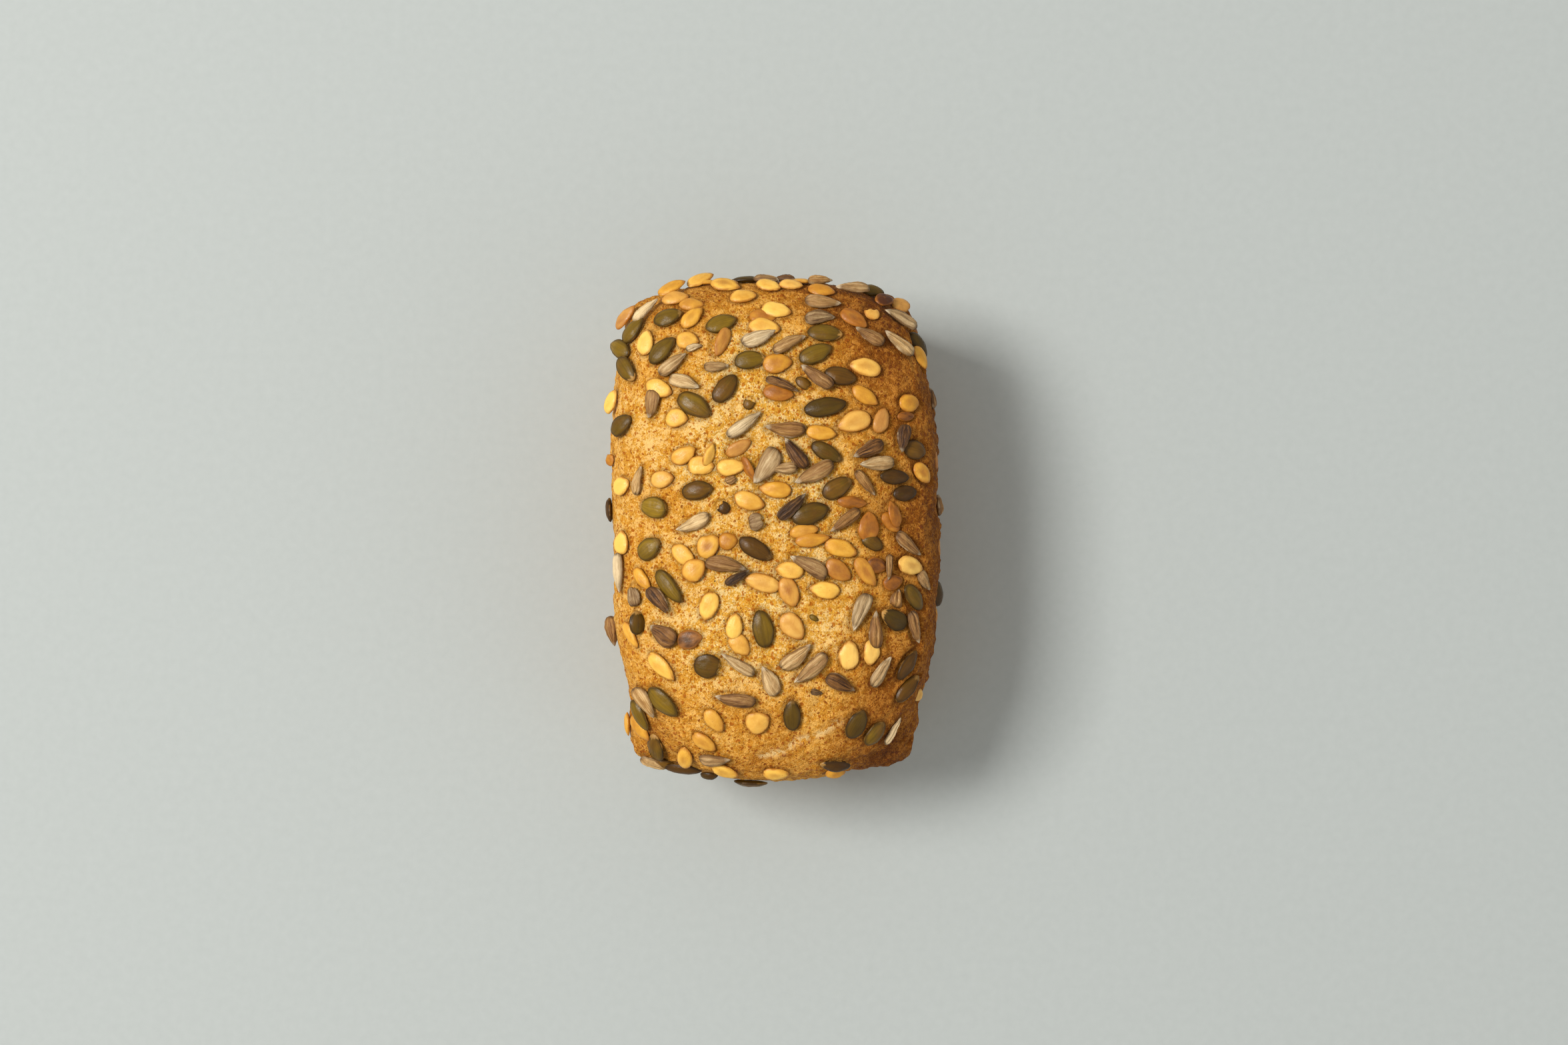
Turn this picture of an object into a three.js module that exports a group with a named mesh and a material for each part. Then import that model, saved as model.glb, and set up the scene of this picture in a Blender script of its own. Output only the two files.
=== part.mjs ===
// A seeded tin loaf: one baked loaf, and the larger kernels that stand on its crust.
// Millimetres, +Z up, +Y along the loaf. The origin is on the table, under the middle of the loaf.

import * as THREE from "three";

// The part of the loaf that filled the tin: a block with tapered walls and rounded corners.
const BASE_HALF_WIDTH = 44.5;
const BASE_HALF_LENGTH = 74;
const BASE_EDGE_RADIUS = 6;
const RIM_HEIGHT = 54;
const RIM_HALF_WIDTH = 47.1;
const RIM_HALF_LENGTH = 77.7;
const CORNER_RADIUS = 8;
const SHOULDER_HEIGHT = 76;
const SHOULDER_POWER = 2.2;

// The crown that rose over the rim of the tin: a dome on a rounded outline.
const LOAF_HEIGHT = 89;
const GIRTH_HEIGHT = 63;
const GIRTH_HALF_WIDTH = 52.7;
const GIRTH_HALF_LENGTH = 81.6;
const OUTLINE_POWER = 3.3;
const OUTLINE_POWER_SWING = 0.65;
const DOME_POWER = 2.4;
const OVERHANG_HEIGHT = 50;
const OVERHANG_TUCK = 9;

// How sharply the crown meets the block, and how far the loaf is bent sideways along its length.
const JOIN_POWER = 26;
const LEAN = 0.012;
const BOW = 0.00027;

// Steps of the loaf's surface.
const STEPS_AROUND = 96;
const BASE_EDGE_STEPS = 3;
const WALL_STEPS = 4;
const OVERHANG_STEPS = 5;
const DOME_STEPS = 13;

// Kernels: a lens that tapers to its tip. The gap keeps it clear of the crust.
const KERNEL_GAP = 0.3;
const KERNEL_STEPS_AROUND = 10;
const KERNEL_STEPS_ALONG = 5;
const CAST_HEIGHT = 2 * LOAF_HEIGHT;

const KINDS = {
  pumpkin_seed: { thickness: 2.4, taper: 0.16, color: "#4e4a1c", roughness: 0.42 },
  melon_kernel: { thickness: 2, taper: 0.24, color: "#dba23f", roughness: 0.5 },
  sunflower_kernel: { thickness: 2.8, taper: 0.34, color: "#8a6f50", roughness: 0.72 },
};

// Kernels on the top of the crust: x, y, heading of the tip from +X, length and width.
const TOP_KERNELS = {
  pumpkin_seed: [
    [-34, 69.3, 18, 10, 6],
    [-16.9, 67.1, 18, 10.7, 6],
    [-35.7, 58.6, 47, 11.2, 6],
    [-7.6, 55.2, 8, 10.4, 6.3],
    [13.6, 57.3, 23, 11.6, 6.4],
    [-15.5, 46.1, 52, 11, 6.3],
    [21.5, 50, -12, 10.5, 6.2],
    [-25.4, 40.8, -32, 12.2, 7.2],
    [16.7, 40.1, 10, 14, 6.2],
    [-24.3, 13.4, 10, 10.3, 6.3],
    [20.4, 14.2, 30, 10.8, 6.4],
    [-38.2, 7.9, 168, 10, 7],
    [11.8, 5.8, 18, 12.5, 7],
    [-39.6, -5.4, 40, 9.3, 6.6],
    [-5.6, -5.5, -30, 12.3, 6],
    [-33.2, -17.6, -52, 13.3, 5.6],
    [44.6, -21.3, -55, 11, 6],
    [38.5, -28.2, 150, 10.2, 6.6],
    [-3.4, -31, 100, 12.6, 7],
    [42.7, -43.1, 57, 11.4, 5.2],
    [-35.3, -54.9, -44, 13, 7],
    [6, -58.9, 92, 10.8, 5.9],
    [26.6, -62, 62, 10.6, 6.6],
    [-38, -70.4, 98, 11, 6.3],
  ],
  melon_kernel: [
    [1, 71.5, -8, 10, 5.6],
    [29.4, 53, 170, 10.7, 6],
    [1.7, 44.6, -8, 10, 5.5],
    [25.8, 35.4, 197, 11.2, 6.8],
    [-13.6, 20.8, 3, 9.3, 5.5],
    [30.3, 1.8, 85, 9.5, 7],
    [21.7, -5.3, -18, 11, 5.6],
    [43.8, -11, -18, 10, 6],
    [-3.6, -16.2, 165, 12, 5.8],
    [16.3, -18.6, 175, 10, 5.6],
    [-20.6, -23.9, 252, 9.8, 6],
    [-12.5, -30.3, 82, 8.7, 5.3],
    [6.2, -30.4, -52, 10, 7],
    [24.2, -39.6, 85, 9.6, 6.6],
    [-35.7, -43.5, -46, 12, 5.3],
    [-5, -61.2, 20, 8.2, 7.5],
  ],
  sunflower_kernel: [
    [-4.7, 62.4, 21, 11.9, 5],
    [39.8, 61, 142, 12.7, 5],
    [-38.7, 41.3, 263, 9.5, 4.8],
    [-9.3, 34.4, 36, 13.5, 4],
    [3.8, 33, 176, 13, 4.8],
    [32.8, 22.1, 185, 12.2, 4.5],
    [-2.4, 20.9, 238, 13.2, 6.5],
    [13, 18.8, 208, 14, 5],
    [22.7, 3.6, 218, 12, 4],
    [11.3, -10.8, 152, 13.5, 5],
    [27.6, -25.7, 249, 13, 5.2],
    [32.5, -31.3, 92, 12.3, 4.6],
    [12, -43.9, 222, 14, 5],
    [-1.2, -47.6, 115, 10.6, 5.2],
    [-12.2, -53.8, 173, 13.6, 4.5],
  ],
};

// Kernels on the flanks, cast inwards: the bearing they are seen from, the place along that flank,
// the height, the turn of the tip from level, length and width.
const FLANK_KERNELS = {
  pumpkin_seed: [
    [0, -20.3, 63, 8, 9, 5.5],
    [90, 9.3, 64, 4, 10, 5.8],
    [-90, -7.5, 62, 12, 11.5, 6.2],
  ],
  sunflower_kernel: [[180, 32.7, 62, 5, 10, 5]],
};

const DEGREE = Math.PI / 180;

// Distance from the middle to the edge of a rounded rectangle, in the direction given.
function roundedRectangleReach(direction, halfWidth, halfLength, radius) {
  const across = Math.abs(Math.cos(direction));
  const along = Math.abs(Math.sin(direction));
  const cornerX = halfWidth - radius;
  const cornerY = halfLength - radius;
  if (along * halfWidth <= cornerY * across) return halfWidth / across;
  if (across * halfLength <= cornerX * along) return halfLength / along;
  const middle = across * cornerX + along * cornerY;
  return middle + Math.sqrt(middle * middle - cornerX * cornerX - cornerY * cornerY + radius * radius);
}

function blockReach(direction, height) {
  if (height >= SHOULDER_HEIGHT) return 0;
  if (height > RIM_HEIGHT) {
    const rise = (height - RIM_HEIGHT) / (SHOULDER_HEIGHT - RIM_HEIGHT);
    const shrink = (1 - rise ** SHOULDER_POWER) ** (1 / SHOULDER_POWER);
    return shrink * roundedRectangleReach(direction, RIM_HALF_WIDTH, RIM_HALF_LENGTH, CORNER_RADIUS);
  }
  const rise = height / RIM_HEIGHT;
  const belowEdge = Math.max(0, 1 - height / BASE_EDGE_RADIUS);
  const inset = BASE_EDGE_RADIUS * (1 - Math.sqrt(1 - belowEdge ** 2));
  const halfWidth = THREE.MathUtils.lerp(BASE_HALF_WIDTH, RIM_HALF_WIDTH, rise) - inset;
  const halfLength = THREE.MathUtils.lerp(BASE_HALF_LENGTH, RIM_HALF_LENGTH, rise) - inset;
  return roundedRectangleReach(direction, halfWidth, halfLength, CORNER_RADIUS);
}

function crownReach(direction, height) {
  if (height <= OVERHANG_HEIGHT || height >= LOAF_HEIGHT) return 0;
  const power = OUTLINE_POWER + OUTLINE_POWER_SWING * Math.sin(direction);
  const across = Math.abs(Math.cos(direction)) / GIRTH_HALF_WIDTH;
  const along = Math.abs(Math.sin(direction)) / GIRTH_HALF_LENGTH;
  const reach = (across ** power + along ** power) ** (-1 / power);
  if (height >= GIRTH_HEIGHT) {
    const rise = (height - GIRTH_HEIGHT) / (LOAF_HEIGHT - GIRTH_HEIGHT);
    return reach * (1 - rise ** DOME_POWER) ** (1 / DOME_POWER);
  }
  const drop = (GIRTH_HEIGHT - height) / (GIRTH_HEIGHT - OVERHANG_HEIGHT);
  return reach - OVERHANG_TUCK * (1 - Math.sqrt(1 - drop * drop));
}

function loafReach(direction, height) {
  const block = blockReach(direction, height);
  const crown = crownReach(direction, height);
  return (block ** JOIN_POWER + crown ** JOIN_POWER) ** (1 / JOIN_POWER);
}

const sideways = (y) => -(LEAN * y + BOW * y * y);

// Profile of the loaf from the middle of its base to the middle of its top: share of the reach, height.
function loafProfile() {
  const profile = [new THREE.Vector2(0, 0)];
  const ring = (height) => profile.push(new THREE.Vector2(1, height));
  for (let i = 0; i <= BASE_EDGE_STEPS; i++) {
    ring(BASE_EDGE_RADIUS * (1 - Math.cos((i / BASE_EDGE_STEPS) * 90 * DEGREE)));
  }
  for (let i = 1; i <= WALL_STEPS; i++) {
    ring(THREE.MathUtils.lerp(BASE_EDGE_RADIUS, RIM_HEIGHT - 1, i / WALL_STEPS));
  }
  for (let i = 1; i <= OVERHANG_STEPS; i++) {
    ring(THREE.MathUtils.lerp(RIM_HEIGHT - 1, GIRTH_HEIGHT, i / OVERHANG_STEPS));
  }
  for (let i = 1; i < DOME_STEPS; i++) {
    const turn = (i / DOME_STEPS) * 90 * DEGREE;
    ring(GIRTH_HEIGHT + (LOAF_HEIGHT - GIRTH_HEIGHT) * Math.sin(turn) ** (2 / DOME_POWER));
  }
  profile.push(new THREE.Vector2(0, LOAF_HEIGHT));
  return profile;
}

// Directions around the loaf, spaced evenly along its outline so that the corners stay round.
function outlineDirections() {
  const x = RIM_HALF_WIDTH;
  const y = RIM_HALF_LENGTH;
  const r = CORNER_RADIUS;
  const outline = new THREE.Shape();
  outline.moveTo(x, 0);
  outline.lineTo(x, y - r);
  outline.absarc(x - r, y - r, r, 0, 90 * DEGREE);
  outline.absarc(r - x, y - r, r, 90 * DEGREE, 180 * DEGREE);
  outline.absarc(r - x, r - y, r, 180 * DEGREE, 270 * DEGREE);
  outline.absarc(x - r, r - y, r, 270 * DEGREE, 360 * DEGREE);
  outline.lineTo(x, 0);
  return outline.getSpacedPoints(STEPS_AROUND).map((point) => Math.atan2(point.y, point.x));
}

function loafGeometry() {
  const profile = loafProfile();
  const directions = outlineDirections();
  const geometry = new THREE.LatheGeometry(profile, STEPS_AROUND);
  const place = geometry.getAttribute("position");
  for (let i = 0; i < place.count; i++) {
    const direction = directions[Math.floor(i / profile.length)];
    const { x: share, y: height } = profile[i % profile.length];
    const reach = share * loafReach(direction, height);
    const y = reach * Math.sin(direction);
    place.setXYZ(i, reach * Math.cos(direction) + sideways(y), y, height);
  }
  geometry.computeVertexNormals();
  return geometry;
}

function makeLoaf() {
  const crust = new THREE.MeshStandardMaterial({ color: "#c98d3f", roughness: 0.85, metalness: 0 });
  const loaf = new THREE.Mesh(loafGeometry(), crust);
  loaf.name = "loaf";
  return loaf;
}

// A kernel lies along X with its tip at +X, flat on Z.
function kernelGeometry(kind, length, width) {
  const geometry = new THREE.SphereGeometry(1, KERNEL_STEPS_AROUND, KERNEL_STEPS_ALONG);
  geometry.rotateZ(-90 * DEGREE);
  const place = geometry.getAttribute("position");
  for (let i = 0; i < place.count; i++) {
    const along = place.getX(i);
    const taper = 1 - kind.taper * along;
    const halfWidth = (taper * width) / 2;
    const halfThickness = (taper * kind.thickness) / 2;
    place.setXYZ(i, (along * length) / 2, place.getY(i) * halfWidth, place.getZ(i) * halfThickness);
  }
  geometry.computeVertexNormals();
  return geometry;
}

// The heading is kept as it is seen along the cast, so the tip leans with the crust below it.
function layOnCrust(kernel, loaf, from, cast, heading, thickness) {
  const [hit] = new THREE.Raycaster(from, cast).intersectObject(loaf);
  const up = hit.face.normal;
  const tip = heading.clone().addScaledVector(cast, -heading.dot(up) / cast.dot(up)).normalize();
  const side = new THREE.Vector3().crossVectors(up, tip);
  kernel.quaternion.setFromRotationMatrix(new THREE.Matrix4().makeBasis(tip, side, up));
  kernel.position.copy(hit.point).addScaledVector(up, KERNEL_GAP + thickness / 2);
}

function makeKernels(loaf) {
  const kernels = new THREE.Group();
  for (const [name, kind] of Object.entries(KINDS)) {
    const { color, roughness } = kind;
    const skin = new THREE.MeshStandardMaterial({ color, roughness, metalness: 0 });
    const highest = 1 + kind.taper;
    let count = 0;
    const addKernel = (from, cast, heading, length, width) => {
      const kernel = new THREE.Mesh(kernelGeometry(kind, length, width), skin);
      count += 1;
      kernel.name = `${name}_${String(count).padStart(2, "0")}`;
      layOnCrust(kernel, loaf, from, cast, heading, kind.thickness * highest);
      kernels.add(kernel);
    };
    for (const [x, y, turn, length, width] of TOP_KERNELS[name]) {
      const heading = new THREE.Vector3(Math.cos(turn * DEGREE), Math.sin(turn * DEGREE), 0);
      const above = new THREE.Vector3(x, y, CAST_HEIGHT);
      addKernel(above, new THREE.Vector3(0, 0, -1), heading, length, width);
    }
    for (const [bearing, along, height, turn, length, width] of FLANK_KERNELS[name] ?? []) {
      const outward = new THREE.Vector3(Math.cos(bearing * DEGREE), Math.sin(bearing * DEGREE), 0);
      const level = new THREE.Vector3(-outward.y, outward.x, 0);
      const outside = new THREE.Vector3(0, 0, height);
      outside.addScaledVector(outward, CAST_HEIGHT).addScaledVector(level, along);
      const heading = level.multiplyScalar(Math.cos(turn * DEGREE));
      heading.z = Math.sin(turn * DEGREE);
      addKernel(outside, outward.clone().negate(), heading, length, width);
    }
  }
  return kernels;
}

// Everything is moved so that the origin lies under the middle of the whole loaf.
function makeSeededLoaf() {
  const parts = new THREE.Group();
  const loaf = makeLoaf();
  parts.add(loaf, makeKernels(loaf));
  const middle = new THREE.Box3().setFromObject(parts, true).getCenter(new THREE.Vector3());
  parts.position.set(-middle.x, -middle.y, 0);
  return new THREE.Group().add(parts);
}

export default makeSeededLoaf();
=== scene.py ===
"""Looks of the seeded loaf: a rough baked crust, and detailed kernels set in it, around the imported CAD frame.

Lengths in the tables are millimetres in the frame's axes: +Y along the loaf, +X across it, +Z up.
"""
import math
import random
from collections import namedtuple

import bmesh
import bpy
import numpy as np
from mathutils import Matrix, Vector, noise
from mathutils.bvhtree import BVHTree


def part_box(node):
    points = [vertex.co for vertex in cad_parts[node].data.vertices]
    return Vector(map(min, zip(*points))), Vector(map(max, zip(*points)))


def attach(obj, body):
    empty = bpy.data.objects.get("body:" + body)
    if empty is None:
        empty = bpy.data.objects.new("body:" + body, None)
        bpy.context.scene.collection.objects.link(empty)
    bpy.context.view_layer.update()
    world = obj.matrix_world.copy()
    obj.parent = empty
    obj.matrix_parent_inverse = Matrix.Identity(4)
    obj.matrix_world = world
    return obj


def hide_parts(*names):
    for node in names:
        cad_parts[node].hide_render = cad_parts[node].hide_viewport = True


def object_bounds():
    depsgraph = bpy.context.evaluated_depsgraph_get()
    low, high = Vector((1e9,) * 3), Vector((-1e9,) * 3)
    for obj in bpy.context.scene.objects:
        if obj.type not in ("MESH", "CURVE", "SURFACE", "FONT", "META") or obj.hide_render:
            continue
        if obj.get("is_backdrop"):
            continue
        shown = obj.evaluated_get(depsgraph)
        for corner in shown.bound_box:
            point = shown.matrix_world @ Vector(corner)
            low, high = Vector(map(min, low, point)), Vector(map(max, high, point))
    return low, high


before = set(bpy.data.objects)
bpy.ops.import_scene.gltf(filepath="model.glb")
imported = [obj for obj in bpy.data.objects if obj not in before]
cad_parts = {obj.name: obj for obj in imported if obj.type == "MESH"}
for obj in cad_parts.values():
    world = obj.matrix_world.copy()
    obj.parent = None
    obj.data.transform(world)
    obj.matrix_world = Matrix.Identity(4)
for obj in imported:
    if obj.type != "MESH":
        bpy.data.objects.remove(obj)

MM = 0.001
SEED = 7
# How high the rim of the tin came, as a share of the loaf's height.
RIM_SHARE = 0.607

CAD_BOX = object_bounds()
LOAF_LOW, LOAF_HIGH = (np.array(corner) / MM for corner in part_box("loaf"))
HALF_WIDTH = (LOAF_HIGH[0] - LOAF_LOW[0]) / 2
HALF_LENGTH = (LOAF_HIGH[1] - LOAF_LOW[1]) / 2
HEIGHT = LOAF_HIGH[2]
RIM = RIM_SHARE * HEIGHT
DICE = random.Random(SEED)
noise.seed_set(SEED)

# ---------------------------------------------------------------- kernels: what each one is

# heading: where the tip points, in degrees from +X. tone: dark (0) to pale (1). hue: 0 to 1, from brown to
# green in a pumpkin seed, from pinkish to golden in a melon kernel, and from grey to brown in a sunflower
# kernel. mark: how strong the tan tip or the toasted middle is. lift: above (+) or below (-) the usual
# height. roll: turned about its length, in degrees. cut: where a broken kernel ends, in half lengths.
Kernel = namedtuple("Kernel", "x y heading length width tone hue mark lift roll cut", defaults=(0, 0, 1))
# The same for a kernel on a flank, seen from a bearing: the place along that flank and its height.
Flank = namedtuple("Flank", "bearing along height heading length width tone hue mark lift", defaults=(0,))

# How a kind is built. perch: the height of its middle over the skin. sink: how far the crust lies below its
# middle. blunt and tip: powers that shape its two ends. dome: two powers that shape its top. underside: how
# deep it is below, as a share of its top. ridges: how many ridges run along it. rim: how far its rim stands
# up. camber: how far its ends bend down. bend: the most that it bows sideways, in half widths. crumple: how
# uneven its surface is.
Kind = namedtuple("Kind", "perch sink thickness blunt tip dome underside ridges rim camber bend crumple")
KINDS = {
    "pumpkin_seed": Kind(1.69, 0.98, 2.5, 0.5, 0.6, (2.3, 0.6), 0.8, 0, 0.05, 0.35, 0.06, 0.8),
    "melon_kernel": Kind(1.54, 0.88, 1.9, 0.48, 0.65, (3.4, 0.7), 0.8, 0, 0.04, 0.25, 0.06, 1.1),
    "sunflower_kernel": Kind(2.18, 1.3, 2.9, 0.4, 0.8, (2.1, 0.52), 0.7, 3, 0.0, 0.2, 0.25, 2.0),
}

# Tone, hue and mark of the kernels that the CAD frame holds, in the order of their nodes.
NODE_LOOKS = {
    "pumpkin_seed": [
        (0.5, 0.8, 0.5), (0.7, 1.0, 0.1), (0.5, 0.75, 0.1), (0.6, 0.7, 0.8), (0.6, 0.7, 0.1),
        (0.4, 0.35, 0.0), (0.3, 0.3, 0.1), (0.62, 0.5, 0.1), (0.22, 0.6, 0.0), (0.4, 0.35, 0.1),
        (0.45, 0.35, 0.2), (0.85, 0.9, 0.8), (0.38, 0.6, 0.0), (0.7, 0.85, 0.2), (0.15, 0.25, 0.2),
        (0.65, 0.9, 0.0), (0.5, 0.6, 0.1), (0.12, 0.7, 1.0), (0.55, 0.75, 0.0), (0.2, 0.15, 0.1),
        (0.65, 0.95, 0.0), (0.32, 1.0, 0.3), (0.25, 0.7, 0.1), (0.42, 0.5, 0.8), (0.1, 0.5, 0.0),
        (0.2, 0.7, 0.0), (0.35, 0.5, 0.2),
    ],
    "melon_kernel": [
        (1.0, 0.5, 0.1), (0.85, 0.45, 0.5), (0.3, 0.8, 0.3), (0.75, 0.4, 0.35), (0.9, 0.5, 0.15),
        (0.3, 0.75, 0.4), (0.7, 0.6, 0.3), (0.95, 0.4, 0.5), (0.75, 0.4, 0.35), (0.9, 0.55, 0.1),
        (0.9, 0.5, 0.2), (0.97, 0.5, 0.1), (0.7, 0.35, 0.2), (1.0, 0.4, 0.0), (0.85, 0.55, 0.25),
        (0.75, 0.45, 0.1),
    ],
    "sunflower_kernel": [
        (0.85, 0.1, 0.3), (0.75, 0.5, 0.3), (0.45, 0.5, 0.3), (0.8, 0.1, 0.3), (0.4, 0.7, 0.3),
        (0.7, 0.4, 0.3), (0.62, 0.3, 0.3), (0.5, 0.5, 0.4), (0.38, 0.6, 0.2), (0.45, 0.4, 0.5),
        (0.62, 0.1, 0.4), (0.4, 0.65, 0.2), (0.5, 0.45, 0.5), (0.75, 0.45, 0.4), (0.35, 0.5, 0.4),
        (0.35, 0.7, 0.1),
    ],
}

# Kernels on the flanks that lie tilted, facing partly up: how far each is turned about its length.
NODE_TILTS = {"pumpkin_seed_25": 40, "sunflower_kernel_16": 55}

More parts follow.
